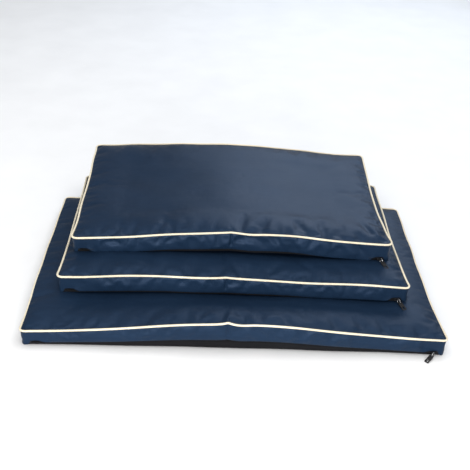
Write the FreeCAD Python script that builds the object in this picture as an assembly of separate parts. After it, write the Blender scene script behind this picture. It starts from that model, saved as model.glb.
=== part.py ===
import FreeCAD, Part
import math
import os

# Three pet cushions of one design, in three sizes, stacked large to small.
# Each is a boxed cushion: a top panel, a two-piece boxing band and a non-slip
# bottom panel round a foam pad in its liner, with piping in the top seam and
# a zip along the bottom of the front.
# Frame: +Z up, the front faces -Y, +X runs to the right along the front.
# Origin: the centre of the large cushion's underside. Millimetres.

# Plan sizes, measured between the centre lines of the piping.
LARGE_WIDTH = 1000.0
LARGE_DEPTH = 630.0
MIDDLE_WIDTH = 868.0
MIDDLE_DEPTH = 535.0
SMALL_WIDTH = 812.0
SMALL_DEPTH = 515.0

# How the stack steps: each front edge stands back from the one below, and
# each centre is shifted sideways from the one below.
MIDDLE_STEP_BACK = 139.0
SMALL_STEP_BACK = 101.0
MIDDLE_SHIFT = -5.0
SMALL_SHIFT = -6.0
STACK_GAP = 0.3

# Rise of each top above its seam: the load above flattens the lower two.
LARGE_CROWN = 4.0
MIDDLE_CROWN = 4.0
SMALL_CROWN = 14.0

# The way each pull ring points, in degrees to the right of straight out.
LARGE_RING_TURN = -45.0
MIDDLE_RING_TURN = 25.0
SMALL_RING_TURN = 25.0

# Cover.
FABRIC = 1.0
BAND_HEIGHT = 48.0
CORNER_RADIUS = 12.0
CROWN_RUN = 60.0
CROWN_CORNER_RADIUS = 40.0
PANEL_EDGE = 1.5

# Piping.
PIPING_DIAMETER = 5.0
PIPING_WRAP = 0.7
PIPING_CORD_EASE = 0.1
SEAM_FLANGE = 9.0
SEAM_THICKNESS = 0.8

# Zip.
ZIP_HEIGHT = 9.0
ZIP_WINDOW = 6.0
ZIP_END_MARGIN = 2.0
TAPE_WIDTH = 14.0
TAPE = 0.6
COIL_RADIUS = 1.0
COIL_GAP = 1.4
STOP_LENGTH = 3.0

# Zip slider, with its bridge.
SLIDER_LENGTH = 13.0
SLIDER_MOUTH_HEIGHT = 9.4
SLIDER_TAIL_HEIGHT = 7.6
SLIDER_PLATE = 1.2
SLIDER_FLANGE_DEPTH = 1.0
SLIDER_CLEARANCE = 0.3
SLIDER_FILLET = 0.8
POST_LENGTH = 3.0
BRIDGE_LENGTH = 11.0
BRIDGE_WIDTH = 2.5
BRIDGE_BAR = 1.2
BRIDGE_OPENING = 2.8
BRIDGE_FILLET = 1.0

# Pull ring and pull tab.
RING_RADIUS = 5.5
RING_WIRE = 1.5
TAB_LENGTH = 28.0
TAB_WIDTH = 11.0
TAB_EYE_WIDTH = 6.0
TAB_TAPER = 6.0
TAB_THICKNESS = 1.6
TAB_HOLE_RADIUS = 1.7
TAB_EYE_EDGE = 1.8
TAB_WINDOW_LENGTH = 7.0
TAB_WINDOW_WIDTH = 5.0
TAB_WINDOW_EDGE = 3.0
TAB_GROUND_CLEARANCE = 0.6

# Pad.
LINER = 0.5
PAD_EASE = 1.0
PAD_SHOULDER = 2.0
PAD_CROWN_EASE = 2.0
PAD_CORNER_RADIUS = 8.0

X_AXIS = FreeCAD.Vector(1, 0, 0)
Y_AXIS = FreeCAD.Vector(0, 1, 0)
Z_AXIS = FreeCAD.Vector(0, 0, 1)

# Heights above a cushion's own underside.
SEAM_TOP = BAND_HEIGHT + SEAM_THICKNESS
PIPING_HEIGHT = BAND_HEIGHT + SEAM_THICKNESS / 2
WINDOW_LOW = ZIP_HEIGHT - ZIP_WINDOW / 2
WINDOW_HIGH = ZIP_HEIGHT + ZIP_WINDOW / 2

# Distances in from the cover's outer face.
TAPE_FRONT = FABRIC
TAPE_BACK = TAPE_FRONT + TAPE
SLIDER_BACK = TAPE_BACK + SLIDER_CLEARANCE + SLIDER_PLATE
LINER_INSET = SLIDER_BACK + PAD_EASE


def box(x0, x1, y0, y1, z0, z1):
    """A block between two corners."""
    return Part.makeBox(x1 - x0, y1 - y0, z1 - z0, FreeCAD.Vector(x0, y0, z0))


def outline(width, depth, radius, z):
    """A rounded rectangle about the Z axis, as a closed wire at height z."""
    x, y = width / 2, depth / 2
    corners = [(x, -y, 270), (x, y, 0), (-x, y, 90), (-x, -y, 180)]
    arcs = []
    for cx, cy, start in corners:
        centre = FreeCAD.Vector(cx - math.copysign(radius, cx), cy - math.copysign(radius, cy), z)
        points = []
        for turn in (0, 45, 90):
            angle = math.radians(start + turn)
            points.append(centre + FreeCAD.Vector(math.cos(angle), math.sin(angle), 0) * radius)
        arcs.append(points)
    edges = []
    for here, after in zip(arcs, arcs[1:] + arcs[:1]):
        edges.append(Part.Arc(*here).toShape())
        edges.append(Part.LineSegment(here[2], after[0]).toShape())
    return Part.Wire(edges)


def slab(width, depth, radius, z0, z1):
    """A rounded rectangular plate between two heights."""
    face = Part.Face(outline(width, depth, radius, z0))
    return face.extrude(Z_AXIS * (z1 - z0))


def frustum(width, depth, radius, z0, run, top_radius, z1):
    """A plate whose sides slope in by run from z0 up to z1."""
    low = outline(width, depth, radius, z0)
    high = outline(width - 2 * run, depth - 2 * run, top_radius, z1)
    return Part.makeLoft([low, high], True, True)


def tube_round(width, depth, radius, z, section_radius):
    """A round rod along a rounded rectangle."""
    path = outline(width, depth, radius, z)
    start = path.Edges[1].valueAt(path.Edges[1].FirstParameter)
    along = path.Edges[1].tangentAt(path.Edges[1].FirstParameter)
    section = Part.Wire([Part.makeCircle(section_radius, start, along)])
    spine = Part.Wire(path.Edges[1:] + path.Edges[:1])
    return spine.makePipeShell([section], True, True)


def cover_size(cushion):
    """The cover's outer width and depth, inside the piping."""
    return cushion["width"] - PIPING_DIAMETER, cushion["depth"] - PIPING_DIAMETER


def cover_height(cushion):
    """The height of the top panel's flat middle above the underside."""
    return SEAM_TOP + cushion["crown"]


def zip_span(cushion):
    """Half the zip's length, and the cover's front face."""
    width, depth = cover_size(cushion)
    return width / 2 - CORNER_RADIUS - ZIP_END_MARGIN, -depth / 2


def slider_place(cushion):
    """The slider's centre at rest, closed, and its front plate's outer face."""
    half, front = zip_span(cushion)
    x = half - STOP_LENGTH - SLIDER_CLEARANCE - SLIDER_LENGTH / 2
    face = front - COIL_RADIUS - SLIDER_CLEARANCE - SLIDER_PLATE
    return x, face


def top_panel(cushion):
    """The crowned top of the cover."""
    width, depth = cover_size(cushion)
    high = cover_height(cushion)
    outside = frustum(
        width, depth, CORNER_RADIUS, SEAM_TOP, CROWN_RUN, CROWN_CORNER_RADIUS, high
    )
    inside = frustum(
        width - 2 * PANEL_EDGE,
        depth - 2 * PANEL_EDGE,
        CORNER_RADIUS - PANEL_EDGE,
        SEAM_TOP,
        CROWN_RUN,
        CROWN_CORNER_RADIUS,
        high - FABRIC,
    )
    return outside.cut(inside)


def boxing_band(cushion, side):
    """Half of the upright band, from the front centre seam round to the back one."""
    width, depth = cover_size(cushion)
    half, front = zip_span(cushion)
    wall = slab(width, depth, CORNER_RADIUS, FABRIC, BAND_HEIGHT)
    inside = slab(
        width - 2 * FABRIC, depth - 2 * FABRIC, CORNER_RADIUS - FABRIC, FABRIC, BAND_HEIGHT
    )
    window = box(-half, half, front, front + FABRIC, FABRIC, WINDOW_HIGH)
    x0, x1 = (-width / 2, 0) if side == "left" else (0, width / 2)
    keep = box(x0, x1, -depth / 2, depth / 2, 0, BAND_HEIGHT)
    return wall.cut(inside).cut(window).common(keep)


def bottom_panel(cushion):
    """The flat underside, with the lip that the zip is sewn to."""
    width, depth = cover_size(cushion)
    half, front = zip_span(cushion)
    lip = box(-half, half, front, front + FABRIC, 0, WINDOW_LOW)
    return slab(width, depth, CORNER_RADIUS, 0, FABRIC).fuse(lip).removeSplitter()


def piping_tape(cushion):
    """The piping's fabric: a tube round the cord, with a flange in the seam."""
    width, depth = cover_size(cushion)
    radius = CORNER_RADIUS + PIPING_DIAMETER / 2
    path = (cushion["width"], cushion["depth"], radius)
    flange = slab(*path, BAND_HEIGHT, SEAM_TOP).cut(
        slab(
            width - 2 * SEAM_FLANGE,
            depth - 2 * SEAM_FLANGE,
            CORNER_RADIUS / 2,
            BAND_HEIGHT,
            SEAM_TOP,
        )
    )
    tube = tube_round(*path, PIPING_HEIGHT, PIPING_DIAMETER / 2)
    bore = tube_round(*path, PIPING_HEIGHT, PIPING_DIAMETER / 2 - PIPING_WRAP)
    return tube.fuse(flange).cut(bore)


def piping_cord(cushion):
    """The cord inside the piping."""
    return tube_round(
        cushion["width"],
        cushion["depth"],
        CORNER_RADIUS + PIPING_DIAMETER / 2,
        PIPING_HEIGHT,
        PIPING_DIAMETER / 2 - PIPING_WRAP - PIPING_CORD_EASE,
    )


def zip_tape_upper(cushion):
    """The tape sewn behind the band."""
    half, front = zip_span(cushion)
    low = ZIP_HEIGHT + COIL_GAP / 2
    return box(-half, half, front + TAPE_FRONT, front + TAPE_BACK, low, low + TAPE_WIDTH)


def zip_tape_lower(cushion):
    """The tape sewn behind the bottom panel's lip and turned in along the floor."""
    half, front = zip_span(cushion)
    high = ZIP_HEIGHT - COIL_GAP / 2
    turned_in = TAPE_WIDTH - (high - FABRIC)
    upright = box(-half, half, front + TAPE_FRONT, front + TAPE_BACK, FABRIC, high)
    flat = box(
        -half, half, front + TAPE_BACK, front + TAPE_BACK + turned_in, FABRIC, FABRIC + TAPE
    )
    return upright.fuse(flat).removeSplitter()


def zip_coil(cushion, side):
    """One row of the coil, as a rod with a flat back on its tape."""
    half, front = zip_span(cushion)
    end = half - STOP_LENGTH
    z = ZIP_HEIGHT + side * (COIL_GAP / 2 + COIL_RADIUS)
    rod = Part.makeCylinder(COIL_RADIUS, 2 * end, FreeCAD.Vector(-end, front, z), X_AXIS)
    back = box(-end, end, front, front + COIL_RADIUS, z - COIL_RADIUS, z + COIL_RADIUS)
    return rod.fuse(back).removeSplitter()


def zip_top_stops(cushion):
    """Two clips, one on each tape, that the slider closes against."""
    half, front = zip_span(cushion)
    reach = COIL_GAP / 2 + 2 * COIL_RADIUS
    clips = []
    for low, high in ((COIL_GAP / 2, reach), (-reach, -COIL_GAP / 2)):
        clips.append(
            box(
                half - STOP_LENGTH,
                half,
                front - COIL_RADIUS,
                front + TAPE_FRONT,
                ZIP_HEIGHT + low,
                ZIP_HEIGHT + high,
            )
        )
    return Part.makeCompound(clips)


def zip_bottom_stop(cushion):
    """The clip across both tapes at the open end."""
    half, front = zip_span(cushion)
    reach = COIL_GAP / 2 + 2 * COIL_RADIUS
    return box(
        -half,
        -half + STOP_LENGTH,
        front - COIL_RADIUS,
        front + TAPE_FRONT,
        ZIP_HEIGHT - reach,
        ZIP_HEIGHT + reach,
    )


def slider_plate(x, y0, y1):
    """The slider's outline, widest at its mouth, between two depths."""
    shape = [
        (-SLIDER_LENGTH / 2, -SLIDER_TAIL_HEIGHT / 2),
        (0, -SLIDER_TAIL_HEIGHT / 2),
        (SLIDER_LENGTH / 4, -SLIDER_MOUTH_HEIGHT / 2),
        (SLIDER_LENGTH / 2, -SLIDER_MOUTH_HEIGHT / 2),
    ]
    shape += [(a, -b) for a, b in reversed(shape)]
    points = [FreeCAD.Vector(x + a, y0, ZIP_HEIGHT + b) for a, b in shape]
    plate = Part.Face(Part.makePolygon(points + points[:1])).extrude(Y_AXIS * (y1 - y0))
    ends = [
        e
        for e in plate.Edges
        if abs(e.tangentAt(e.FirstParameter).y) > 0.99
        and abs(abs(e.CenterOfMass.x - x) - SLIDER_LENGTH / 2) < 0.01
    ]
    return plate.makeFillet(SLIDER_FILLET, ends)


def zip_slider(cushion):
    """The slider: two plates on a post, flanges over the coil, and a bridge."""
    x, face = slider_place(cushion)
    front = zip_span(cushion)[1]
    inner = face + SLIDER_PLATE
    plate = slider_plate(x, face, inner)
    flange = slider_plate(x, inner, inner + SLIDER_FLANGE_DEPTH)
    clear = COIL_GAP / 2 + 2 * COIL_RADIUS + SLIDER_CLEARANCE
    channel = box(
        x - SLIDER_LENGTH,
        x + SLIDER_LENGTH,
        inner,
        inner + SLIDER_FLANGE_DEPTH,
        ZIP_HEIGHT - clear,
        ZIP_HEIGHT + clear,
    )
    back = slider_plate(x, front + TAPE_BACK + SLIDER_CLEARANCE, front + SLIDER_BACK)
    post_half = COIL_GAP / 2 - SLIDER_CLEARANCE
    post = box(
        x + SLIDER_LENGTH / 2 - SLIDER_PLATE - POST_LENGTH,
        x + SLIDER_LENGTH / 2 - SLIDER_PLATE,
        inner,
        front + TAPE_BACK + SLIDER_CLEARANCE,
        ZIP_HEIGHT - post_half,
        ZIP_HEIGHT + post_half,
    )
    bridge = box(
        x - BRIDGE_LENGTH / 2,
        x + BRIDGE_LENGTH / 2,
        face - BRIDGE_OPENING - BRIDGE_BAR,
        face,
        ZIP_HEIGHT - BRIDGE_WIDTH / 2,
        ZIP_HEIGHT + BRIDGE_WIDTH / 2,
    )
    shoulders = [
        e
        for e in bridge.Edges
        if abs(e.tangentAt(e.FirstParameter).z) > 0.99 and e.CenterOfMass.y < face - BRIDGE_BAR
    ]
    bridge = bridge.makeFillet(BRIDGE_FILLET, shoulders)
    opening = box(
        x - BRIDGE_LENGTH / 2 + BRIDGE_BAR,
        x + BRIDGE_LENGTH / 2 - BRIDGE_BAR,
        face - BRIDGE_OPENING,
        face,
        ZIP_HEIGHT - BRIDGE_WIDTH / 2,
        ZIP_HEIGHT + BRIDGE_WIDTH / 2,
    )
    body = plate.fuse([flange.cut(channel), back, post, bridge.cut(opening)])
    return body.removeSplitter()


def pull_frame(cushion):
    """The ring's pivot in the bridge, the ring's centre and the way it points."""
    x, face = slider_place(cushion)
    turn = math.radians(cushion["ring_turn"])
    out = FreeCAD.Vector(math.sin(turn), -math.cos(turn), 0)
    pivot = FreeCAD.Vector(x, face - BRIDGE_OPENING / 2, ZIP_HEIGHT)
    return pivot, pivot + out * RING_RADIUS, out


def zip_pull_ring(cushion):
    """The wire ring through the bridge."""
    pivot, centre, out = pull_frame(cushion)
    return Part.makeTorus(RING_RADIUS, RING_WIRE / 2, centre, out.cross(Z_AXIS))


def zip_pull_tab(cushion):
    """The flat tab on the ring: an eye at one end and a window at the other.

    It is drawn along +X from the ring's centre, then tipped down until its end
    clears what the cushion lies on, and turned the way the ring points.
    """
    centre = pull_frame(cushion)[1]
    near = RING_RADIUS - TAB_HOLE_RADIUS - TAB_EYE_EDGE
    far = near + TAB_LENGTH
    low = -TAB_THICKNESS / 2
    shape = [
        (near, -TAB_EYE_WIDTH / 2),
        (near + TAB_TAPER, -TAB_WIDTH / 2),
        (far, -TAB_WIDTH / 2),
    ]
    shape += [(a, -b) for a, b in reversed(shape)]
    points = [FreeCAD.Vector(a, b, low) for a, b in shape]
    tab = Part.Face(Part.makePolygon(points + points[:1])).extrude(Z_AXIS * TAB_THICKNESS)
    corners = [e for e in tab.Edges if abs(e.tangentAt(e.FirstParameter).z) > 0.99]
    tab = tab.makeFillet(TAB_EYE_EDGE, corners)
    eye = Part.makeCylinder(
        TAB_HOLE_RADIUS, TAB_THICKNESS, FreeCAD.Vector(RING_RADIUS, 0, low), Z_AXIS
    )
    window = box(
        far - TAB_WINDOW_EDGE - TAB_WINDOW_LENGTH,
        far - TAB_WINDOW_EDGE,
        -TAB_WINDOW_WIDTH / 2,
        TAB_WINDOW_WIDTH / 2,
        low,
        -low,
    )
    upright = [e for e in window.Edges if abs(e.tangentAt(e.FirstParameter).z) > 0.99]
    tab = tab.cut(eye).cut(window.makeFillet(TAB_EYE_EDGE / 2, upright))
    drop = ZIP_HEIGHT - TAB_THICKNESS / 2 - TAB_GROUND_CLEARANCE
    tab.rotate(FreeCAD.Vector(), Y_AXIS, math.degrees(math.asin(drop / far)))
    tab.rotate(FreeCAD.Vector(), Z_AXIS, cushion["ring_turn"] - 90)
    tab.translate(centre)
    return tab


def pad(cushion, inset):
    """The pad's form, a block with a crowned top, a distance inside the liner."""
    width, depth = cover_size(cushion)
    width -= 2 * (LINER_INSET + inset)
    depth -= 2 * (LINER_INSET + inset)
    low = FABRIC + TAPE + inset
    side = BAND_HEIGHT - PAD_SHOULDER - inset
    high = cover_height(cushion) - FABRIC - inset
    run = CROWN_RUN + PAD_CROWN_EASE - LINER_INSET
    radius = PAD_CORNER_RADIUS - inset
    block = slab(width, depth, radius, low, side)
    crown = frustum(width, depth, radius, side, run, CROWN_CORNER_RADIUS, high)
    return block.fuse(crown).removeSplitter()


def inner_liner(cushion):
    """The closed bag that holds the foam."""
    return pad(cushion, 0).cut(pad(cushion, LINER))


def foam_core(cushion):
    """The foam, filling the liner."""
    return pad(cushion, LINER)


def pieces(cushion):
    """Every piece of one cushion by name, about its own underside's centre."""
    return {
        "top_panel": top_panel(cushion),
        "boxing_band_left": boxing_band(cushion, "left"),
        "boxing_band_right": boxing_band(cushion, "right"),
        "bottom_panel": bottom_panel(cushion),
        "piping_tape": piping_tape(cushion),
        "piping_cord": piping_cord(cushion),
        "zip_tape_upper": zip_tape_upper(cushion),
        "zip_tape_lower": zip_tape_lower(cushion),
        "zip_coil_upper": zip_coil(cushion, 1),
        "zip_coil_lower": zip_coil(cushion, -1),
        "zip_top_stops": zip_top_stops(cushion),
        "zip_bottom_stop": zip_bottom_stop(cushion),
        "zip_slider": zip_slider(cushion),
        "zip_pull_ring": zip_pull_ring(cushion),
        "zip_pull_tab": zip_pull_tab(cushion),
        "inner_liner": inner_liner(cushion),
        "foam_core": foam_core(cushion),
    }


def stack():
    """The three cushions, each with its size and its place on the one below."""
    names = ["large", "middle", "small"]
    widths = [LARGE_WIDTH, MIDDLE_WIDTH, SMALL_WIDTH]
    depths = [LARGE_DEPTH, MIDDLE_DEPTH, SMALL_DEPTH]
    crowns = [LARGE_CROWN, MIDDLE_CROWN, SMALL_CROWN]
    turns = [LARGE_RING_TURN, MIDDLE_RING_TURN, SMALL_RING_TURN]
    steps_back = [0.0, MIDDLE_STEP_BACK, SMALL_STEP_BACK]
    shifts = [0.0, MIDDLE_SHIFT, SMALL_SHIFT]
    x, front, z = 0.0, -LARGE_DEPTH / 2, 0.0
    cushions = []
    for i, name in enumerate(names):
        x += shifts[i]
        front += steps_back[i]
        cushion = {"name": name, "width": widths[i], "depth": depths[i]}
        cushion["crown"] = crowns[i]
        cushion["ring_turn"] = turns[i]
        cushion["place"] = FreeCAD.Vector(x, front + depths[i] / 2, z)
        cushions.append(cushion)
        z += cover_height(cushion) + STACK_GAP
    return cushions


os.makedirs("parts", exist_ok=True)
for cushion in stack():
    for name, shape in pieces(cushion).items():
        shape.translate(cushion["place"])
        node = cushion["name"] + "_" + name
        shape.exportStep("parts/" + node + ".step")
        print(node, len(shape.Solids), shape.isValid(), round(shape.Volume, 1))
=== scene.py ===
"""Looks for three boxed pet cushions, stacked: sewn covers, piping, zips and a plain studio."""

import math

import bpy
import numpy as np
from mathutils import Matrix, Vector


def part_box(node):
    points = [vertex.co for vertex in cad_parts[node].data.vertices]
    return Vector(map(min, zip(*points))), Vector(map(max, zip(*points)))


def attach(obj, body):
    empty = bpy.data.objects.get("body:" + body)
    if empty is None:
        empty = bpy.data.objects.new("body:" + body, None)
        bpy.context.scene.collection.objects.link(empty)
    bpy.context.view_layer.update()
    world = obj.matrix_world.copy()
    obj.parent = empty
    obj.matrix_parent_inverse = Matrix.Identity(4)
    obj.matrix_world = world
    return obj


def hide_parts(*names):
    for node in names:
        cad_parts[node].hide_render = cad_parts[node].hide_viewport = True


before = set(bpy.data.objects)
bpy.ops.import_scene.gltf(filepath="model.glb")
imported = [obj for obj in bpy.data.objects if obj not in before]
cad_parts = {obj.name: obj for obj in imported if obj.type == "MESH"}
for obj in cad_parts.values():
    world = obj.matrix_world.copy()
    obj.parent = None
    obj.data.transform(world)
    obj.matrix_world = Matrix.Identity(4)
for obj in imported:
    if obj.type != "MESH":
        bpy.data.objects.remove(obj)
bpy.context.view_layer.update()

MM = 0.001

# Cloth grid, mm
STEP = 7.0
CORNER_STEP = 3.5
CORNER_REACH = 34.0
SEAM_STEP = 2.6
SEAM_REACH = 11.0
BAND_ROWS = 7
HEM_IN = 1.1
HEM_UP = 3.0

# Shape of a stuffed cover, mm
BAND_TALL = 40.0
BELLY = 3.0
BELLY_FLAT = 0.85
SHOULDER = 2.4
SHOULDER_RUN = 7.0
FLARE = 2.2
FLARE_RUN = 13.0
STRETCH_RUN = 60.0
EDGE_WAVE = 0.9
SEAM_WAVE = 0.5
GROOVE = -2.4
GROOVE_WIDTH = 2.6
GROOVE_LIP = 1.0
CREASE_RUN = 45.0

# Piping, mm
PIPING_RADIUS = 2.5
PIPING_OUT = 1.9
PIPING_UP = 0.2
PIPING_STEP = 3.0
PIPING_SIDES = 14

# Zip, mm
FLAP_OUT = 2.5
COIL_PITCH = 2.4
COIL_POINTS = 8
COIL_WIRE = 0.36
COIL_WIRE_SIDES = 5
COIL_DEPTH = 0.75
COIL_CENTRE = 0.95
COIL_HEIGHT = 1.05
COIL_SWAY = 0.35
TAPE_STEP = 6.0
TAPE_OVERRUN = 3.0
# The tape's section: outwards and up from the zip's middle, from the coil to behind the band and back
TAPE_SECTION = ((-1.6, 0.4), (0.1, 0.5), (0.2, 1.2), (-1.0, 3.0), (-1.9, 5.6), (-2.3, 5.4), (-2.2, 0.3))
ZIP_EDGE = 3.3
LIP_EDGE = 2.9
# Ranges from the zip's ends over which the band lies flat, its edge rises clear of the zip, it stops
# hanging over the zip, the front runs straight, and the top of the cushion below is held down
FLAT_END = (-52, -32)
BARE_END = (-32, -20)
FLAP_END = (-24, -17)
STRAIGHT_END = (-40, -26)
BELOW_END = (-60, -40)
BELOW_GAP = 1.5
FLAP_ROWS = 3

# The black underside, mm
BASE_IN = 0.9
BASE_FLOOR = 0.15
BASE_NARROW = 6.0
LIP_UP = 1.8

# What the cloth simulation may do. A point moves CLOTH_CAP mm at most, and stays under TOP_LIMIT.
CLOTH_FRAMES = 20
CLOTH_PRESSURE = 4.0
CLOTH_CAP = 7.0
TOP_LIMIT = 183.2
TOP_EASE = 7.0
CLOTH_GROWTH = 0.085
CLOTH_SETTINGS = {
    "quality": 6,
    "mass": 0.1,
    "air_damping": 1.5,
    "tension_stiffness": 20,
    "compression_stiffness": 20,
    "shear_stiffness": 6,
    "bending_stiffness": 2.0,
    "bending_damping": 1.0,
}

# Camera
CAMERA_PLACE = (-0.090, -1.782, 1.228)
CAMERA_PITCH = 31.67
CAMERA_YAW = 2.80
CAMERA_ROLL = 3.31
CAMERA_LENS = 61.28
CAMERA_SENSOR = 36

# Studio: name, place, aim, size, power, colour
LAMPS = (
    ("top", (0.0, -0.1, 4.0), (0.0, 0.2, 0.0), (5.0, 4.0), 160, (1.0, 1.0, 1.0)),
    ("front", (-0.3, -2.7, 0.55), (0.0, 0.0, 0.08), (2.4, 0.9), 75, (1.0, 1.0, 1.0)),
    ("side", (1.05, 3.0, 1.9), (0.2, 0.15, 0.15), (2.2, 1.3), 33, (0.68, 0.81, 1.0)),
)
WORLD_LIGHT = 0.28
FLOOR_SIZE = 14


def smooth(start, end, x):
    """0 before start, 1 after end, and an S curve between them."""
    t = np.clip((np.asarray(x, float) - start) / (end - start), 0, 1)
    return t * t * (3 - 2 * t)


def hill(x, centre, width):
    """1 at the centre, falling off to both sides."""
    return np.exp(-(((x - centre) / width) ** 2))


def ripple(rng, count, low, high):
    """A smooth random wave in x and y, made of a few sines, with a height of about 1."""
    angle = rng.uniform(0, 2 * math.pi, count)
    wave = rng.uniform(low, high, count)
    phase = rng.uniform(0, 2 * math.pi, count)

    def height(x, y):
        total = 0
        for a, w, p in zip(angle, wave, phase):
            total = total + np.sin((x * math.cos(a) + y * math.sin(a)) * 2 * math.pi / w + p)
        return total / math.sqrt(count)

    return height


def span(*nodes):
    """Lowest and highest corner of some CAD nodes, in mm."""
    boxes = [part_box(n) for n in nodes]
    low = [min(b[0][k] for b in boxes) / MM for k in range(3)]
    high = [max(b[1][k] for b in boxes) / MM for k in range(3)]
    return low, high


# How each cushion lies. Lengths in mm, x from the cushion's centre and depth from its front.


def arch(x, half, height):
    return height * np.cos(np.clip(x / half, -1, 1) * math.pi / 2) ** 2


def crease(x, depth, width, height):
    """A sharp peak where the cover was folded, which dies out behind the front seam."""
    return height * np.exp(-np.abs(x) / width) * np.exp(-depth / CREASE_RUN)


def large_rise(x, depth):
    return arch(x, 480, 30) + crease(x + 22, depth, 12, 6.5) - 2.5 * hill(x, 8, 22)


def middle_rise(x, depth):
    plateau = 8.5 * smooth(-400, -250, x) * (1 - 0.6 * smooth(10, 190, x))
    return plateau * (1 - smooth(330, 430, x)) + crease(x + 22, depth, 28, 4)


def small_rise(x, depth):
    lean = 2.5 * hill(x, 170, 70) - 2.5 * hill(x, 45, 28)
    back = (4.0 + 7 * hill(x, -280, 150)) * smooth(220, 470, depth)
    return arch(x, 400, 22.5) + crease(x + 4, depth, 18, 2.5) + lean * np.exp(-depth / 120) + back


# rise, rise_run, kept_rise: arch of the front seam, the run in which it dies out, the share that stays
# low_share, low_run, base_share: how much of that arch the zip and the underside follow
# flap: height of the band's lower edge from the zip's middle, at the left, the centre and the right
# front_droop, side_droop, back_droop: how far the top seam hangs, left and right
# crown, crown_run: rise of the stuffed top, and the run from the seam in which it gets there
# corner_radius: front left, front right, back right, back left
# pull_in: how far the front, right, back and left sides pull in between the corners
# corner_out, low_corner_out: how far the front corners, and the lower right one, stand out
# piping_roll: degrees by which the piping rolls under the sides
# pucker: share of CLOTH_GROWTH
# seam_at: x of the band's front seam
CUSHIONS = {
    "large": {
        "rise": large_rise,
        "rise_run": 150,
        "low_run": 130,
        "low_share": 0.62,
        "base_share": 0.05,
        "flap": (0.5, 0.5, 0.5),
        "front_droop": (6.3, 1.5),
        "side_droop": 4.0,
        "back_droop": (2.0, 2.0),
        "crown": 3.0,
        "crown_run": 70,
        "corner_radius": (8, 7, 12, 12),
        "pull_in": (3.0, 3.0, 2.0, -4.5),
        "corner_out": (5.0, 0.0),
        "low_corner_out": 0.0,
        "piping_roll": 62,
        "pucker": 0.5,
        "seam_at": -22,
        "kept_rise": 0.2,
        "seed": 11,
    },
    "middle": {
        "rise": middle_rise,
        "rise_run": 105,
        "low_run": 95,
        "low_share": 0.6,
        "base_share": 0.8,
        "flap": (-3.5, -2.2, -6.5),
        "front_droop": (1.2, 4.5),
        "side_droop": 0.0,
        "back_droop": (4.0, 5.0),
        "crown": 3.0,
        "crown_run": 60,
        "corner_radius": (11, 11, 12, 12),
        "pull_in": (2.0, 4.5, 2.0, 2.5),
        "corner_out": (0.0, 1.5),
        "low_corner_out": 6.0,
        "piping_roll": 0,
        "pucker": 0.6,
        "seam_at": -22,
        "kept_rise": 0.9,
        "seed": 23,
    },
    "small": {
        "rise": small_rise,
        "rise_run": 150,
        "low_run": 120,
        "low_share": 0.7,
        "base_share": 0.8,
        "flap": (-6.5, -2.6, -6.5),
        "front_droop": (5.5, -3.0),
        "side_droop": 0.0,
        "back_droop": (1.0, 1.0),
        "crown": 4.0,
        "crown_run": 90,
        "corner_radius": (13, 17, 12, 12),
        "pull_in": (2.5, 7.0, 2.5, 2.0),
        "corner_out": (0.0, 4.0),
        "low_corner_out": 1.0,
        "piping_roll": 0,
        "pucker": 1.0,
        "seam_at": -4,
        "kept_rise": 1.0,
        "seed": 37,
    },
}

# Folds: start x, start y, direction in degrees (90 runs back from the front), length, width, height
FOLDS = {
    "large": [
        (-8, 4, 100, 125, 13, 2.6),
        (12, 4, 78, 110, 10, -2.4),
        (-40, 10, 124, 120, 10, 2.0),
        (-95, 12, 62, 90, 9, -1.8),
        (60, 10, 40, 130, 10, 2.0),
        (110, 8, 35, 120, 11, -1.6),
        (-230, 22, 28, 120, 12, 1.8),
        (230, 14, 150, 110, 13, 1.4),
        (-330, 30, 160, 90, 16, 1.4),
        (350, 30, 20, 90, 16, 1.4),
    ],
    "middle": [
        (20, 4, 95, 100, 12, 2.4),
        (52, 6, 70, 95, 9, -2.0),
        (80, 8, 40, 130, 10, 2.4),
        (130, 22, 24, 140, 11, 2.2),
        (-40, 8, 112, 80, 10, 1.8),
        (-110, 6, 95, 80, 10, 1.6),
        (-180, 8, 80, 70, 10, -1.2),
        (220, 14, 120, 70, 12, 1.4),
        (300, 10, 100, 70, 12, 1.2),
    ],
    "small": [
        (-10, 3, 97, 120, 13, 3.0),
        (16, 3, 86, 120, 11, -2.6),
        (38, 4, 80, 120, 12, 2.8),
        (66, 5, 74, 100, 10, -2.2),
        (92, 4, 82, 90, 10, 2.4),
        (128, 5, 96, 95, 11, 2.0),
        (160, 4, 84, 80, 10, -1.8),
        (196, 5, 92, 84, 10, 2.0),
        (240, 6, 80, 70, 10, 1.6),
        (-52, 4, 104, 100, 11, 2.2),
        (-96, 4, 96, 76, 10, 1.8),
        (-142, 5, 102, 84, 11, 2.0),
        (-200, 5, 92, 70, 10, 1.4),
        (-262, 6, 98, 66, 10, 1.6),
        (362, 30, 118, 100, 8, -5.0),
        (376, 22, 112, 80, 7, 3.4),
    ],
}

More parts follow.
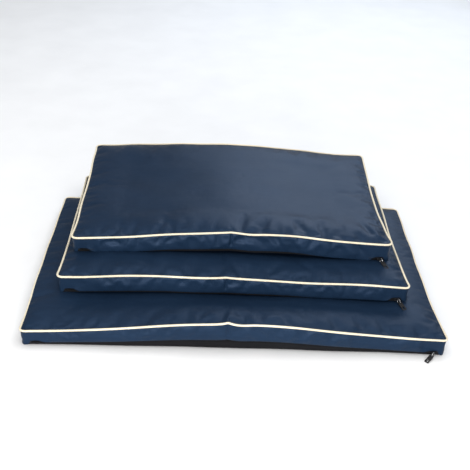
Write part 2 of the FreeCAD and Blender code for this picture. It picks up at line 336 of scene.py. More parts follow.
# Folds of the front band: x, slope in degrees from upright, width, depth. Negative ones go in.
BAND_FOLDS = {
    "large": [
        (-150, 40, 12, 1.6),
        (-96, 38, 9, -1.4),
        (-60, 20, 7, 1.5),
        (30, -44, 8, 1.8),
        (58, -46, 8, -1.8),
        (96, -44, 9, 1.5),
        (170, 30, 12, 1.2),
        (-300, 30, 14, 1.1),
        (300, -30, 14, 1.0),
        (430, 24, 12, 1.4),
    ],
    "middle": [
        (-220, 26, 9, 1.8),
        (-196, 22, 8, -1.6),
        (-120, 40, 12, 1.2),
        (-34, 18, 7, 1.6),
        (26, 12, 6, -1.5),
        (84, -36, 9, 2.4),
        (108, -38, 8, -2.2),
        (250, -12, 8, 2.0),
        (272, 12, 7, -1.6),
        (390, 6, 9, 1.6),
    ],
    "small": [
        (-264, 14, 8, 1.9),
        (-240, 16, 7, -1.7),
        (-180, 34, 12, 1.0),
        (-40, 8, 7, -1.6),
        (-18, 5, 6, 1.6),
        (40, -48, 9, 2.6),
        (70, -50, 9, -2.6),
        (100, -48, 9, 2.0),
        (210, 30, 12, 1.2),
        (300, -46, 10, 2.2),
        (330, -44, 9, -1.8),
        (372, -14, 8, 1.8),
    ],
}


def lying(name):
    """How a cushion lies, with its places in mm, read from its CAD nodes, and its own random draws."""
    band_low, band_high = span(f"{name}_boxing_band_left", f"{name}_boxing_band_right")
    cord_low, cord_high = span(f"{name}_piping_cord")
    coil_low, coil_high = span(f"{name}_zip_coil_upper", f"{name}_zip_coil_lower")
    c = dict(CUSHIONS[name])
    c["name"] = name
    c["cx"] = (band_low[0] + band_high[0]) / 2
    c["cy"] = (band_low[1] + band_high[1]) / 2
    c["a"] = (band_high[0] - band_low[0]) / 2
    c["b"] = (band_high[1] - band_low[1]) / 2
    c["base"] = span(f"{name}_bottom_panel")[0][2]
    c["pipe"] = (cord_low[2] + cord_high[2]) / 2
    c["zip"] = (coil_low[2] + coil_high[2]) / 2
    c["zip_half"] = (coil_high[0] - coil_low[0]) / 2
    c["rng"] = np.random.default_rng(c["seed"])
    c["ripple"] = ripple(c["rng"], 7, 150, 420)
    c["edge_ripple"] = ripple(c["rng"], 5, 120, 260)
    return c


# The plan of a cushion: four rounded sides, each from corner middle to corner middle


def stations(length, seam_at=None):
    """Distances along a side, closer together at its ends and at a seam near its middle."""
    s = np.linspace(0, length, 6001)
    step = STEP - (STEP - CORNER_STEP) * (hill(s, 0, CORNER_REACH) + hill(s, length, CORNER_REACH))
    if seam_at is not None:
        step = step - (STEP - SEAM_STEP) * hill(s, length / 2 + seam_at, SEAM_REACH)
    passed = np.concatenate([[0], np.cumsum((s[1] - s[0]) / ((step[1:] + step[:-1]) / 2))])
    cells = 2 * round(passed[-1] / 2)
    return np.interp(np.linspace(0, passed[-1], cells + 1), passed, s)


def side_length(half, radii):
    return 2 * half - sum(radii) + sum(radii) * math.pi / 4


def side_points(half, out, radii, share):
    """Points and outward directions of one rounded side, at shares 0 to 1 of its length."""
    length = side_length(half, radii)
    s = share * length
    along, across = np.empty_like(s), np.full_like(s, float(out))
    turn = np.zeros_like(s)
    arcs = [radii[0] * math.pi / 4, radii[1] * math.pi / 4]
    first, last = s < arcs[0], s > length - arcs[1]
    turn[first] = -(arcs[0] - s[first]) / radii[0]
    turn[last] = (s[last] - (length - arcs[1])) / radii[1]
    along[:] = -half + radii[0] + (s - arcs[0])
    along[first] = -half + radii[0] + radii[0] * np.sin(turn[first])
    across[first] = out - radii[0] + radii[0] * np.cos(turn[first])
    along[last] = half - radii[1] + radii[1] * np.sin(turn[last])
    across[last] = out - radii[1] + radii[1] * np.cos(turn[last])
    return along, across, np.sin(turn), np.cos(turn)


def plan(c):
    """The four sides in the cushion's own x and y, as arrays of x, y, outward x, outward y."""
    a, b = c["a"], c["b"]
    fl, fr, br, bl = c["corner_radius"]
    xs = stations(2 * a - 20, c["seam_at"])
    ys = stations(2 * b - 20)
    xs, ys = xs / xs[-1], ys / ys[-1]
    front = side_points(a, b, (fl, fr), xs)
    right = side_points(b, a, (fr, br), ys)
    back = side_points(a, b, (bl, br), xs)
    left = side_points(b, a, (fl, bl), ys)
    sides = {
        "front": np.array([front[0], -front[1], front[2], -front[3]]),
        "right": np.array([right[1], right[0], right[3], right[2]]),
        "back": np.array([back[0], back[1], back[2], back[3]]),
        "left": np.array([-left[1], left[0], -left[3], left[2]]),
    }
    return {k: pulled_in(c, k, v) for k, v in sides.items()}, xs, ys


def pulled_in(c, which, side):
    """Moves a side's points inwards between its corners, as a stuffed cover's edges do."""
    x, y, nx, ny = side
    front, right, back, left = c["pull_in"]
    u, v = np.clip(x / c["a"], -1, 1), np.clip(y / c["b"], -1, 1)
    if which in ("front", "back"):
        amount = {"front": front, "back": back}[which] * (1 - u**4)
    else:
        near = 1 - np.exp(-(v + 1) * 4.5)
        amount = {"right": right, "left": left}[which] * near * (1 - smooth(-0.1, 1.0, v)) * 1.25
        amount = amount + 1.2 * (1 - v**4)
    amount = amount + EDGE_WAVE * c["edge_ripple"](x, y) * (1 - np.abs(u) ** 8 * np.abs(v) ** 8)
    corner = np.hypot(c["a"] - np.abs(x), c["b"] - np.abs(y))
    amount = amount - FLARE * np.exp(-corner / FLARE_RUN)
    wider = np.zeros_like(x)
    for sign, stretch in zip((-1, 1), c["corner_out"]):
        away = np.hypot(x - sign * c["a"], y + c["b"])
        wider = wider + sign * stretch * np.exp(-away / STRETCH_RUN)
    return np.array([x - nx * amount + wider, y - ny * amount, nx, ny])


def patch(sides, u, v):
    """Fills the four sides with a grid, as a Coons patch: array of (x, y) by station."""
    front, right, back, left = (sides[n][:2].T for n in ("front", "right", "back", "left"))
    uu, vv = u[:, None, None], v[None, :, None]
    ruled = (1 - vv) * front[:, None] + vv * back[:, None]
    ruled = ruled + (1 - uu) * left[None] + uu * right[None]
    left_ends = (1 - uu) * ((1 - vv) * front[0] + vv * back[0])
    right_ends = uu * ((1 - vv) * front[-1] + vv * back[-1])
    return ruled - (left_ends + right_ends)


def ring(nx, ny):
    """Grid places round the edge, anticlockwise from the front left corner."""
    return (
        [(i, 0) for i in range(nx)]
        + [(nx, j) for j in range(ny)]
        + [(i, ny) for i in range(nx, 0, -1)]
        + [(0, j) for j in range(ny, 0, -1)]
    )


# Heights of a cushion's cloth


def front_share(c, y, run):
    """1 at the front, and 0 from a run behind it."""
    return 1 - smooth(0, run, y + c["b"])


def lift_share(c, y, run):
    """Share of the front seam's rise at a distance behind it."""
    return c["kept_rise"] + (1 - c["kept_rise"]) * front_share(c, y, run)


def droop(c, x, y):
    """How far the top seam hangs below its CAD height, most at the corners."""
    left, right = c["front_droop"]
    back_left, back_right = c["back_droop"]
    u, v = x / c["a"], y / c["b"]
    front = (left * (1 - u) / 2 + right * (1 + u) / 2) * front_share(c, y, 170)
    corner = smooth(0.35, 1.0, np.abs(u))
    back = (back_left * (1 - u) / 2 + back_right * (1 + u) / 2) * smooth(0.35, 1.0, v)
    side = c["side_droop"] * smooth(c["a"] - 90, c["a"], x) * smooth(20, 140, y + c["b"])
    return front + back * (0.45 + 0.55 * corner) + side


def edge_distance(c, x, y):
    """Distance in from the nearest side."""
    dx, dy = c["a"] - np.abs(x), c["b"] - np.abs(y)
    return np.clip(np.minimum(dx, dy), 0, None)


def fold_heights(c, x, y):
    """Ridges and hollows that run into the top from its seams."""
    total = np.zeros_like(x)
    for x0, y0, turn, length, width, height in FOLDS[c["name"]]:
        a = math.radians(turn)
        dx, dy = x - x0, y + c["b"] - y0
        along = dx * math.cos(a) + dy * math.sin(a)
        across = -dx * math.sin(a) + dy * math.cos(a)
        across = across + 0.12 * along * np.sin(along / length * 2.2)
        spread = width * (0.75 + 0.9 * np.clip(along / length, 0, 1))
        shape = smooth(-4, 14, along) * (1 - smooth(0.35 * length, length, along))
        total += height * shape * np.exp(-((across / spread) ** 2))
    return total


def seam_height(c, x, y):
    """Height of the top seam over a plan place on the edge."""
    lift = c["rise"](x, y + c["b"]) * lift_share(c, y, c["rise_run"])
    wave = SEAM_WAVE * c["edge_ripple"](1.3 * x, 1.3 * y) * smooth(0, 40, y + c["b"])
    return c["pipe"] - droop(c, x, y) + lift + wave


def top_height(c, x, y):
    """Height of the top panel, before the cloth simulation."""
    inside = edge_distance(c, x, y)
    crown = (c["crown"] - SHOULDER) * np.sin(np.clip(inside / c["crown_run"], 0, 1) * math.pi / 2)
    puffed = SHOULDER * (1 - np.exp(-inside / SHOULDER_RUN)) + crown
    wave = c["ripple"](x, y) * smooth(10, 90, inside)
    return seam_height(c, x, y) + puffed + wave + fold_heights(c, x, y) * smooth(1, 16, inside)


def low_rise(c, x, y):
    """How far the zip and the underside's front edge arch up."""
    lift = c["low_share"] * c["rise"](x, y + c["b"]) * lift_share(c, y, c["low_run"])
    return lift * smooth(0, 26, c["zip_half"] + 4 - np.abs(x))


def zip_end(c, x, start, end):
    """1 near both ends of the zip, where the slider stops, and 0 between them."""
    return smooth(start, end, np.abs(x) - c["zip_half"])


def zip_span(c, x):
    """1 along the zip, and 0 past its ends."""
    return smooth(0, 9, c["zip_half"] + 8 - np.abs(x))


def zip_face(c, y):
    """1 on the front, where the zip is sewn in, and 0 from the corners back."""
    return 1 - smooth(4, 12, y + c["b"])


def front_band(c, y):
    """1 on the front, and 0 from a little way along the sides."""
    return 1 - smooth(10, 30, y + c["b"])


def band_bottom(c, x, y):
    """Height of the navy band's lower edge: above the zip in front, and at the base elsewhere."""
    open_zip = zip_span(c, x) * zip_face(c, y)
    bare = zip_end(c, x, *BARE_END)
    left, centre, right = c["flap"]
    flap = centre + (left - centre) * smooth(120, 260, -x) + (right - centre) * smooth(120, 260, x)
    edge = c["zip"] + flap + (ZIP_EDGE - flap) * bare
    low = c["base"] + 1.0 + (edge - c["base"] - 1.0) * open_zip
    return low + low_rise(c, x, y)


def low_corner(c, x, y):
    """How far the lower right front corner stands out."""
    near = np.exp(-np.hypot(x - c["a"], y + c["b"]) / 25)
    return c["low_corner_out"] * near * smooth(c["a"] - 14, c["a"] - 3, x)


def band_out(c, x, y, t):
    """How far the band stands out at share t of its height, with its folds and centre seam."""
    front = front_band(c, y)
    middle = 4 * t * (1 - t)
    belly = BELLY * middle**0.8 * (1 + 0.35 * c["edge_ripple"](0.8 * x, 0.8 * y))
    height = t * BAND_TALL - BAND_TALL / 2
    folds = np.zeros_like(x)
    for x0, slope, width, depth in BAND_FOLDS[c["name"]]:
        line = x0 + height * math.tan(math.radians(slope))
        folds += depth * np.exp(-(((x - line) / width) ** 2))
    folds = folds * middle**0.6
    from_seam = np.abs(x - c["seam_at"])
    groove = GROOVE * hill(from_seam, 0, GROOVE_WIDTH) + GROOVE_LIP * hill(from_seam, 7.5, 3.5)
    over_zip = FLAP_OUT * (1 - t) ** 4 * zip_span(c, x)
    belly = belly + low_corner(c, x, y) * (1 - t)
    above_zip = smooth(0.08, 0.32, t)
    flat = zip_end(c, x, *FLAT_END) * front
    belly = belly * (1 - BELLY_FLAT * flat)
    shaped = above_zip * (folds + groove * middle**0.3) * (1 - flat)
    return belly + front * (shaped + over_zip * (1 - zip_end(c, x, *FLAP_END)))


# Meshes


def mesh_object(name, points, faces):
    """A smooth mesh object from points in mm."""
    mesh = bpy.data.meshes.new(name)
    mesh.from_pydata((np.asarray(points, float) * MM).tolist(), [], faces)
    mesh.polygons.foreach_set("use_smooth", [True] * len(mesh.polygons))
    mesh.update()
    obj = bpy.data.objects.new(name, mesh)
    bpy.context.scene.collection.objects.link(obj)
    return obj


def coordinates(mesh):
    flat = np.empty(len(mesh.vertices) * 3)
    mesh.vertices.foreach_get("co", flat)
    return flat.reshape(-1, 3)


def set_coordinates(mesh, points):
    mesh.vertices.foreach_set("co", np.asarray(points, float).ravel())
    mesh.update()


def sewn(name, c, points, edge, shape, faces_up):
    """A mesh from a grid of points and the rows that follow round its edge. Returns the object, its
    points in mm, and the point numbers of each row, the grid's own edge first."""
    nx, ny = shape
    count = (nx + 1) * (ny + 1)
    rows = [[i * (ny + 1) + j for i, j in edge]]
    for k in range(len(points) - 1):
        rows.append(list(range(count + k * len(edge), count + (k + 1) * len(edge))))
    faces = []
    for i in range(nx):
        for j in range(ny):
            p = i * (ny + 1) + j
            around = (p + ny + 1, p + ny + 2, p + 1)
            faces.append((p, *(around if faces_up else around[::-1])))
    for row, after in zip(rows, rows[1:]):
        lower, upper = (after, row) if faces_up else (row, after)
        for k in range(len(edge)):
            m = (k + 1) % len(edge)
            faces.append((lower[k], lower[m], upper[m], upper[k]))
    xyz = np.concatenate(points) + [c["cx"], c["cy"], 0]
    return mesh_object(name, xyz, faces), xyz, rows


def cover_mesh(c):
    """Top and band of one cover. Returns the object, and facts about its points for the other steps."""
    sides, u, v = plan(c)
    nx, ny = len(u) - 1, len(v) - 1
    grid = patch(sides, u, v)
    x, y = grid[..., 0], grid[..., 1]
    top = np.stack([x, y, top_height(c, x, y)], -1)
    edge = ring(nx, ny)
    rim_x = np.array([x[i, j] for i, j in edge])
    rim_y = np.array([y[i, j] for i, j in edge])
    out = edge_directions(sides, nx, ny)
    rim_z = seam_height(c, rim_x, rim_y)
    for (i, j), z in zip(edge, rim_z):
        top[i, j, 2] = z
    points = [top.reshape(-1, 3)]
    low = band_bottom(c, rim_x, rim_y)
    levels = [1 - (k + 1) / BAND_ROWS for k in range(BAND_ROWS)]
    for t in levels:
        stand = band_out(c, rim_x, rim_y, t)
        z = low + (rim_z - low) * t
        points.append(np.stack([rim_x + out[0] * stand, rim_y + out[1] * stand, z], -1))
    hem = band_out(c, rim_x, rim_y, 0.0)
    for inwards, up in ((0.3, -0.4), (HEM_IN * 0.8, 0.1), (HEM_IN, HEM_UP)):
        stand = hem - inwards
        points.append(np.stack([rim_x + out[0] * stand, rim_y + out[1] * stand, low + up], -1))
    obj, xyz, rows = sewn(f"{c['name']}_cover", c, points, edge, (nx, ny), True)
    pins, growth = cloth_weights(c, top, xyz, rows, rim_x, rim_y)
    facts = {
        "cushion": c,
        "grid": (x, y),
        "edge": edge,
        "rim": (rim_x, rim_y, rim_z),
        "out": out,
        "rows": rows,
        "front_at": c["cy"] - c["b"] + 12,
        "pins": pins,
        "growth": growth,
    }
    return obj, facts


def cloth_weights(c, top, xyz, rows, rim_x, rim_y):
    """How firmly each point is pinned, and how much its cloth grows, both 0 to 1."""
    inside = edge_distance(c, top[..., 0], top[..., 1]).reshape(-1)
    count = len(inside)
    pins = np.zeros(len(xyz))
    growth = np.zeros(len(xyz))
    noise = ripple(c["rng"], 9, 60, 160)(xyz[:, 0], xyz[:, 1] + xyz[:, 2])
    top_noise = np.clip(0.75 + 0.45 * noise[:count], 0, 1.4)
    near_front = 1 - smooth(50, 170, top[..., 1].reshape(-1) + c["b"])
    growth[:count] = np.exp(-inside / 38) * top_noise * (0.3 + 0.7 * near_front)
    pins[:count] = 0.02 + 0.3 * smooth(50, 150, inside)
    pins[rows[0]] = 1
    for row in rows[1:BAND_ROWS + 1]:
        growth[row] = 0.9 * np.clip(0.8 + 0.5 * noise[row], 0, 1.4)
        pins[row] = 0.05
        centre = hill(rim_x, c["seam_at"], 3.0) * front_band(c, rim_y)
        pins[row] = np.maximum(pins[row], 0.9 * centre)
    for row in rows[BAND_ROWS:]:
        pins[row] = 1
        growth[row] = 0
    return pins, growth * c["pucker"]


def edge_directions(sides, nx, ny):
    """Outward directions in plan, in the order of ring."""
    order = [sides["front"][2:, :nx], sides["right"][2:, :ny],
             sides["back"][2:, nx:0:-1], sides["left"][2:, ny:0:-1]]
    out = np.concatenate(order, axis=1)
    return out / np.linalg.norm(out, axis=0)


def settle(obj, facts, pressure):
    """Blender's cloth swells the cover between its pinned seams. The cloth near a seam is cut a
    little longer than the seam, so it puckers."""
    before = coordinates(obj.data)
    for label, weights in (("pins", facts["pins"]), ("tight", 1 - facts["growth"])):
        group = obj.vertex_groups.new(name=label)
        values = np.round(np.clip(weights, 0, 1), 2)
        for value in np.unique(values[values > 0]):
            group.add(np.flatnonzero(values == value).tolist(), float(value), "REPLACE")
    cloth = obj.modifiers.new("cloth", "CLOTH")
    for setting, value in CLOTH_SETTINGS.items():
        setattr(cloth.settings, setting, value)
    cloth.settings.use_pressure = True
    cloth.settings.uniform_pressure_force = pressure
    cloth.settings.vertex_group_mass = "pins"
    cloth.settings.vertex_group_shrink = "tight"
    cloth.settings.shrink_min = -CLOTH_GROWTH
    cloth.settings.shrink_max = 0
    cloth.settings.effector_weights.gravity = 0
    cloth.collision_settings.use_collision = False
    scene = bpy.context.scene
    for number in range(1, CLOTH_FRAMES + 1):
        scene.frame_set(number)
    bpy.context.view_layer.objects.active = obj
    obj.select_set(True)
    bpy.ops.object.modifier_apply(modifier=cloth.name)
    obj.select_set(False)
    scene.frame_set(1)
    after = held(facts, before, coordinates(obj.data))
    set_coordinates(obj.data, after)
    obj.vertex_groups.clear()


def held(facts, before, after):
    """The simulated points, kept near their first places and clear of what must stay clear."""
    c = facts["cushion"]
    move = after - before
    far = np.linalg.norm(move, axis=1, keepdims=True) / MM
    kept = np.where(far > 1e-6, np.tanh(far / CLOTH_CAP) * CLOTH_CAP / np.maximum(far, 1e-6), 1)
    after = before + move * kept
    over = np.clip(after[:, 2] / MM - TOP_LIMIT + TOP_EASE, 0, None)
    after[:, 2] -= (over - TOP_EASE * np.tanh(over / TOP_EASE)) * MM
    keep_below(after, c)
    # The band's lowest rows don't move in towards the zip, and no row moves in or out at its ends.
    flap = at_front(facts, before, BAND_ROWS - FLAP_ROWS)
    after[flap, 1] = np.minimum(after[flap, 1], before[flap, 1])
    band = at_front(facts, before, 1)
    clear = zip_end(c, before[band, 0] / MM - c["cx"], *FLAT_END)
    after[band, 1] += (before[band, 1] - after[band, 1]) * clear
    return after


def at_front(facts, places, first_row):
    """The points of the front band, from a row down to its lower edge."""
    points = np.concatenate(facts["rows"][first_row:BAND_ROWS + 1])
    return points[places[points, 1] < facts["front_at"] * MM]


def keep_below(points, c):
    """Holds the top down where the slider of the cushion above it stops."""
    names = list(CUSHIONS)
    if c["name"] == names[-1]:
        return
    above = lying(names[names.index(c["name"]) + 1])
    low, high = span(f"{above['name']}_zip_slider")
    x, y, z = (points / MM).T
    near = smooth(low[1] - 25, low[1] - 8, y) * (1 - smooth(high[1] + 4, high[1] + 20, y))
    near = near * zip_end(above, x - above["cx"], *BELOW_END)
    points[:, 2] -= near * np.clip(z - low[2] + BELOW_GAP, 0, None) * MM


def finish_cover(obj, facts):
    """Sharp edges along the seam and the band's lower edge, then one subdivision."""
    mesh = obj.data
    creased = set()
    for row in (facts["rows"][0], facts["rows"][BAND_ROWS]):
        creased |= {frozenset((row[k], row[(k + 1) % len(row)])) for k in range(len(row))}
    sharp = mesh.attributes.new("crease_edge", "FLOAT", "EDGE")
    pairs = np.empty(len(mesh.edges) * 2, np.int64)
    mesh.edges.foreach_get("vertices", pairs)
    values = [1.0 if frozenset(p) in creased else 0.0 for p in pairs.reshape(-1, 2).tolist()]
    sharp.data.foreach_set("value", values)
    apply_subdivision(obj)


def apply_subdivision(obj):
    modifier = obj.modifiers.new("subdivision", "SUBSURF")
    modifier.levels = modifier.render_levels = 1
    bpy.context.view_layer.objects.active = obj
    bpy.ops.object.modifier_apply(modifier=modifier.name)


def base_mesh(c, facts):
    """The black underside with the lip below the zip."""
    x, y = facts["grid"]
    edge = facts["edge"]
    rim_x, rim_y = facts["rim"][:2]
    out = facts["out"]
    lift = low_rise(c, rim_x, rim_y)
    front = zip_span(c, rim_x) * zip_face(c, rim_y)
    lip = c["base"] + lift + LIP_UP + (c["zip"] - LIP_EDGE - c["base"] - LIP_UP) * front
    bottom = c["base"] + c["base_share"] * lift
    under = c["base"] + BASE_FLOOR + c["base_share"] * low_rise(c, x, y)
    narrow = 1 - BASE_NARROW / c["b"]
    points = [np.stack([x * narrow, y * narrow, under], -1).reshape(-1, 3)]
    # Inwards and height, from the floor up to the lip's turned edge
    profile = [(BASE_IN + 3.0, bottom + 0.25), (BASE_IN + 1.2, bottom + 1.0)]
    for share in (0.05, 0.35, 0.7, 1.0):
        profile.append((BASE_IN, bottom + 1.4 + (lip - bottom - 1.4) * share))
    profile.append((BASE_IN + 1.6, lip - 0.3))
    for inwards, z in profile:
        inwards = inwards - low_corner(c, rim_x, rim_y)
        points.append(np.stack([rim_x - out[0] * inwards, rim_y - out[1] * inwards, z], -1))
    shape = (x.shape[0] - 1, x.shape[1] - 1)
    return sewn(f"{c['name']}_base", c, points, edge, shape, False)[0]


def tube(name, points, radii, sides, closed=False):
    """A round tube along points in mm."""
    points = np.asarray(points, float)
    n = len(points)
    ahead = np.roll(points, -1, 0) - np.roll(points, 1, 0)
    if not closed:
        ahead[0], ahead[-1] = points[1] - points[0], points[-1] - points[-2]
    ahead /= np.linalg.norm(ahead, axis=1, keepdims=True)
    across = np.cross(ahead, [0, 0, 1.0])
    across /= np.maximum(np.linalg.norm(across, axis=1, keepdims=True), 1e-9)
    up = np.cross(across, ahead)
    radii = np.broadcast_to(radii, n)[:, None, None]
    angle = np.arange(sides) * 2 * math.pi / sides
    cosine, sine = np.cos(angle)[None, :, None], np.sin(angle)[None, :, None]
    rings = points[:, None] + radii * (across[:, None] * cosine + up[:, None] * sine)
    faces = []
    for k in range(n if closed else n - 1):
        m = (k + 1) % n
        for s in range(sides):
            q = (s + 1) % sides
            faces.append((k * sides + s, m * sides + s, m * sides + q, k * sides + q))
    if not closed:
        faces.append(tuple(range(sides)))
        faces.append(tuple((n - 1) * sides + s for s in range(sides - 1, -1, -1)))
    return mesh_object(name, rings.reshape(-1, 3), faces)


def piping(c, facts):
    """The piping round the top seam, rolled under at the sides where the cushion's numbers say so."""
    x, y, z = facts["rim"]
    out = facts["out"]
    side = smooth(0.25, 0.9, np.abs(out[0])) * smooth(10, 60, y + c["b"])
    roll = np.radians(c["piping_roll"]) * side
    away = PIPING_OUT * np.cos(roll)
    height = z + PIPING_UP - PIPING_OUT * np.sin(roll)
    line = np.stack([x + out[0] * away, y + out[1] * away, height], -1)
    line = resample(line + [c["cx"], c["cy"], 0], PIPING_STEP)
    k = np.arange(len(line))
    radius = PIPING_RADIUS * (1 + 0.02 * np.sin(k * 0.9) + 0.03 * np.sin(k * 0.13))
    return tube(f"{c['name']}_piping", line, radius, PIPING_SIDES, True)


def resample(line, step):
    """A closed line, smoothed and divided evenly."""
    line = 0.25 * np.roll(line, 1, 0) + 0.5 * line + 0.25 * np.roll(line, -1, 0)
    ring_line = np.concatenate([line, line[:1]])
    gone = np.concatenate([[0], np.cumsum(np.linalg.norm(np.diff(ring_line, axis=0), axis=1))])
    count = int(round(gone[-1] / step))
    s = np.linspace(0, gone[-1], count, endpoint=False)
    return np.stack([np.interp(s, gone, ring_line[:, k]) for k in range(3)], -1)


def front_line(c, facts, half, count, outwards, height):
    """Points along the zip, at a distance outside the cover's front and a height from the zip."""
    x, y, _ = facts["rim"]
    front = y < -c["b"] + 14
    order = np.argsort(x[front])
    xs = np.linspace(-half, half, count)
    ys = np.interp(xs, x[front][order], y[front][order])
    ys = ys - (ys + c["b"]) * zip_end(c, xs, *STRAIGHT_END)
    zs = c["zip"] + low_rise(c, xs, ys) + height
    return np.stack([xs + c["cx"], ys - outwards + c["cy"], zs], -1)


def strip(name, rows):
    """A sheet through rows of points, each row as long as the others."""
    rows = np.asarray(rows)
    m, n = rows.shape[:2]
    faces = [(k * n + i, k * n + i + 1, (k + 1) * n + i + 1, (k + 1) * n + i)
             for k in range(m - 1) for i in range(n - 1)]
    return mesh_object(name, rows.reshape(-1, 3), faces)


def zip_parts(c, facts):
    """Tapes and coils of one zip, by CAD name without the cushion's."""
    steps = int(2 * c["zip_half"] / TAPE_STEP)
    turns = int(2 * c["zip_half"] / COIL_PITCH)
    made = {}
    for part, sign in (("upper", 1), ("lower", -1)):
        rows = [
            front_line(c, facts, c["zip_half"] + TAPE_OVERRUN, steps, out, sign * height)
            for out, height in TAPE_SECTION[::sign]
        ]
        made[f"zip_tape_{part}"] = strip(f"{c['name']}_zip_tape_{part}_cloth", rows)
        line = front_line(c, facts, c["zip_half"], turns * COIL_POINTS + 1, 0, 0)
        turn = np.arange(len(line)) / COIL_POINTS * 2 * math.pi
        line[:, 1] -= COIL_DEPTH + COIL_DEPTH * np.sin(turn)
        line[:, 2] += sign * (COIL_CENTRE + COIL_HEIGHT * np.cos(turn))
        line[:, 0] += COIL_SWAY * np.sin(turn + 0.6)
        wire = tube(f"{c['name']}_zip_coil_{part}_wire", line, COIL_WIRE, COIL_WIRE_SIDES)
        made[f"zip_coil_{part}"] = wire
    return made


# Materials


def new_material(name, colour, roughness, specular=0.5, metallic=0.0):
    material = bpy.data.materials.new(name)
    material.use_nodes = True
    nodes, links = material.node_tree.nodes, material.node_tree.links
    shader = nodes["Principled BSDF"]
    shader.inputs["Base Color"].default_value = (*colour, 1)
    shader.inputs["Roughness"].default_value = roughness
    shader.inputs["Specular IOR Level"].default_value = specular
    shader.inputs["Metallic"].default_value = metallic
    return material, nodes, links, shader


def mapped_noise(nodes, links, scale, detail, stretch=(1, 1, 1)):
    place = nodes.new("ShaderNodeTexCoord")
    mapping = nodes.new("ShaderNodeMapping")
    mapping.inputs["Scale"].default_value = stretch
    noise = nodes.new("ShaderNodeTexNoise")
    noise.inputs["Scale"].default_value = scale
    noise.inputs["Detail"].default_value = detail
    links.new(place.outputs["Object"], mapping.inputs["Vector"])
    links.new(mapping.outputs["Vector"], noise.inputs["Vector"])
    return noise.outputs["Fac"]


def ramp(nodes, links, value, stops):
    node = nodes.new("ShaderNodeValToRGB")
    node.color_ramp.elements[0].position = stops[0][0]
    node.color_ramp.elements[0].color = (*stops[0][1], 1)
    node.color_ramp.elements[1].position = stops[-1][0]
    node.color_ramp.elements[1].color = (*stops[-1][1], 1)
    for position, colour in stops[1:-1]:
        node.color_ramp.elements.new(position).color = (*colour, 1)
    links.new(value, node.inputs["Fac"])
    return node.outputs["Color"]


def remap(nodes, links, value, low, high):
    node = nodes.new("ShaderNodeMapRange")
    node.inputs["To Min"].default_value = low
    node.inputs["To Max"].default_value = high
    links.new(value, node.inputs["Value"])
    return node.outputs["Result"]


def math_node(nodes, links, operation, first, second):
    node = nodes.new("ShaderNodeMath")
    node.operation = operation
    for socket, value in zip(node.inputs, (first, second)):
        if isinstance(value, (int, float)):
            socket.default_value = value
        else:
            links.new(value, socket)
    return node.outputs["Value"]


def weave(nodes, links, pitch):
    """Over and under threads of a plain weave, in all three directions. Pitch in metres."""
    place = nodes.new("ShaderNodeTexCoord")
    split = nodes.new("ShaderNodeSeparateXYZ")
    links.new(place.outputs["Object"], split.inputs["Vector"])
    waves = []
    for axis in ("X", "Y", "Z"):
        turned = math_node(nodes, links, "MULTIPLY", split.outputs[axis], 2 * math.pi / pitch)
        waves.append(math_node(nodes, links, "SINE", turned, 0))
    pairs = [
        math_node(nodes, links, "MULTIPLY", waves[a], waves[b]) for a, b in ((0, 1), (0, 2), (1, 2))
    ]
    total = math_node(nodes, links, "ADD", pairs[0], pairs[1])
    return math_node(nodes, links, "ADD", total, pairs[2])


def bumped(nodes, links, shader, layers):
    """Bump layers, each a height value with its strength and its depth in metres."""
    normal = None
    for height, strength, depth in layers:
        node = nodes.new("ShaderNodeBump")
        node.inputs["Strength"].default_value = strength
        node.inputs["Distance"].default_value = depth
        links.new(height, node.inputs["Height"])
        if normal is not None:
            links.new(normal, node.inputs["Normal"])
        normal = node.outputs["Normal"]
    links.new(normal, shader.inputs["Normal"])


def cloth_material(
    name, dark, light, roughness, sheen, weave_pitch, weave_depth, specular=0.5, tint=(1, 1, 1)
):
    """Woven cloth with cloudy tone, slubs and fine creases. Weave pitch and depth in metres."""
    material, nodes, links, shader = new_material(name, light, sum(roughness) / 2, specular)
    shader.inputs["Specular Tint"].default_value = (*tint, 1)
    shader.inputs["Sheen Weight"].default_value = sheen
    shader.inputs["Sheen Roughness"].default_value = 0.4
    shader.inputs["Sheen Tint"].default_value = (0.75, 0.85, 1.0, 1)
    cloud = mapped_noise(nodes, links, 9.0, 5.0)
    slub = mapped_noise(nodes, links, 90.0, 3.0, (0.25, 2.6, 2.6))
    both = math_node(nodes, links, "ADD", math_node(nodes, links, "MULTIPLY", cloud, 0.6),
                     math_node(nodes, links, "MULTIPLY", slub, 0.4))
    links.new(ramp(nodes, links, both, [(0.30, dark), (0.70, light)]), shader.inputs["Base Color"])
    links.new(remap(nodes, links, both, roughness[0], roughness[1]), shader.inputs["Roughness"])
    threads = weave(nodes, links, weave_pitch)
    creases = mapped_noise(nodes, links, 38.0, 3.0)
    bumped(nodes, links, shader, [(creases, 0.25, 0.0011), (threads, 0.5, weave_depth)])
    return material


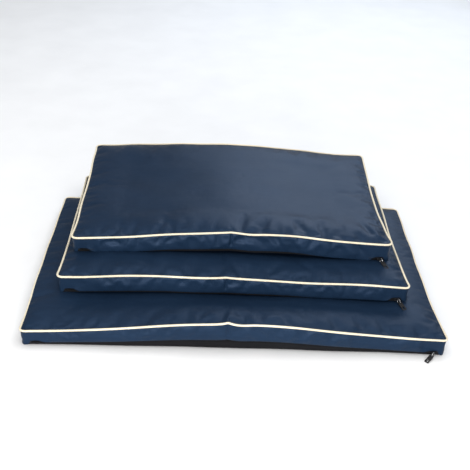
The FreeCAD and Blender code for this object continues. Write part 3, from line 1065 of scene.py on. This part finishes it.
def make_materials():
    made = {
        "cover_navy": cloth_material(
            "navy coated oxford", (0.0070, 0.0175, 0.0385), (0.0110, 0.0255, 0.0540),
            (0.32, 0.42), 0.0, 0.0013, 0.00004, 0.17, (0.46, 0.64, 1.0),
        ),
        "base_black": cloth_material(
            "black non-slip cloth", (0.005, 0.005, 0.006), (0.011, 0.011, 0.013),
            (0.70, 0.85), 0.0, 0.0022, 0.00015, 0.10,
        ),
        "piping_cream": cloth_material(
            "cream bias tape", (0.72, 0.62, 0.44), (0.86, 0.78, 0.60), (0.55, 0.7), 0.15, 0.0009, 0.00005,
        ),
        "zip_tape_black": cloth_material(
            "black zip tape", (0.003, 0.003, 0.004), (0.008, 0.008, 0.009),
            (0.65, 0.8), 0.0, 0.0009, 0.00006, 0.06,
        ),
    }
    for slot, colour, light, roughness, metallic in (
        ("zip_coil_black", (0.005, 0.005, 0.006), (0.012, 0.012, 0.013), 0.45, 0.0),
        ("zip_stop_black", (0.012, 0.012, 0.013), (0.03, 0.03, 0.032), 0.4, 0.6),
        ("slider_black", (0.008, 0.008, 0.009), (0.020, 0.020, 0.022), 0.30, 0.0),
        ("ring_steel", (0.42, 0.42, 0.43), (0.62, 0.62, 0.63), 0.25, 1.0),
        ("tab_black", (0.006, 0.006, 0.007), (0.014, 0.014, 0.015), 0.50, 0.0),
    ):
        material, nodes, links, shader = new_material(slot, light, roughness, 0.25, metallic)
        worn = mapped_noise(nodes, links, 260.0, 5.0)
        links.new(ramp(nodes, links, worn, [(0.35, colour), (0.7, light)]), shader.inputs["Base Color"])
        rough = remap(nodes, links, worn, roughness - 0.06, roughness + 0.12)
        links.new(rough, shader.inputs["Roughness"])
        fine = mapped_noise(nodes, links, 900.0, 3.0)
        bumped(nodes, links, shader, [(fine, 0.3, 0.00006)])
        made[slot] = material
    return made


def dress(obj, material):
    obj.data.materials.clear()
    obj.data.materials.append(material)


# Build


MATERIALS = make_materials()
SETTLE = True
COVER_NODES = ("top_panel", "boxing_band_left", "boxing_band_right", "inner_liner", "foam_core")
CARRIED_SLOTS = {
    "zip_slider": "slider_black",
    "zip_pull_ring": "ring_steel",
    "zip_pull_tab": "tab_black",
    "zip_top_stops": "zip_stop_black",
    "zip_bottom_stop": "zip_stop_black",
}

for cushion_name in CUSHIONS:
    c = lying(cushion_name)
    body = f"{cushion_name}_cushion"
    cover, facts = cover_mesh(c)
    if SETTLE:
        settle(cover, facts, CLOTH_PRESSURE)
    finish_cover(cover, facts)
    pieces = [
        (cover, "cover_navy", COVER_NODES),
        (base_mesh(c, facts), "base_black", ("bottom_panel",)),
        (piping(c, facts), "piping_cream", ("piping_tape", "piping_cord")),
    ]
    for part, obj in zip_parts(c, facts).items():
        pieces.append((obj, "zip_tape_black" if "tape" in part else "zip_coil_black", (part,)))
    for obj, slot, nodes in pieces:
        dress(obj, MATERIALS[slot])
        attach(obj, body)
        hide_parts(*(f"{cushion_name}_{n}" for n in nodes))
    for node, slot in CARRIED_SLOTS.items():
        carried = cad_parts[f"{cushion_name}_{node}"]
        for material_slot in carried.material_slots:
            material_slot.material = MATERIALS[slot]

# Studio


def studio():
    bpy.ops.mesh.primitive_grid_add(x_subdivisions=8, y_subdivisions=8, size=FLOOR_SIZE)
    floor = bpy.context.object
    floor.name = "floor"
    dull, bright = (0.86,) * 3, (0.90,) * 3
    material, nodes, links, shader = new_material("pale floor", dull, 0.6, 0.2)
    grain = mapped_noise(nodes, links, 6.0, 4.0)
    links.new(ramp(nodes, links, grain, [(0.3, dull), (0.7, bright)]), shader.inputs["Base Color"])
    dress(floor, material)
    world = bpy.data.worlds.new("studio")
    world.use_nodes = True
    background = world.node_tree.nodes["Background"]
    background.inputs["Color"].default_value = (1, 1, 1, 1)
    background.inputs["Strength"].default_value = WORLD_LIGHT
    bpy.context.scene.world = world
    for name, place, aim, size, power, colour in LAMPS:
        light = bpy.data.lights.new(name, "AREA")
        light.shape = "RECTANGLE"
        light.size, light.size_y = size
        light.energy = power
        light.color = colour
        lamp = bpy.data.objects.new(name, light)
        lamp.location = place
        lamp.rotation_euler = (Vector(aim) - Vector(place)).to_track_quat("-Z", "Y").to_euler()
        bpy.context.scene.collection.objects.link(lamp)


def camera():
    pitch, yaw, roll = (math.radians(d) for d in (CAMERA_PITCH, CAMERA_YAW, CAMERA_ROLL))
    ahead = Vector((math.sin(yaw) * math.cos(pitch), math.cos(yaw) * math.cos(pitch), -math.sin(pitch)))
    level = Vector((math.cos(yaw), -math.sin(yaw), 0))
    up = level.cross(ahead)
    right = level * math.cos(roll) + up * math.sin(roll)
    upright = up * math.cos(roll) - level * math.sin(roll)
    data = bpy.data.cameras.new("camera")
    data.lens = CAMERA_LENS
    data.sensor_width = CAMERA_SENSOR
    obj = bpy.data.objects.new("camera", data)
    turn = Matrix((right, upright, -ahead)).transposed().to_4x4()
    obj.matrix_world = Matrix.Translation(CAMERA_PLACE) @ turn
    bpy.context.scene.collection.objects.link(obj)
    bpy.context.scene.camera = obj


studio()
camera()
bpy.context.scene.view_settings.view_transform = "Standard"
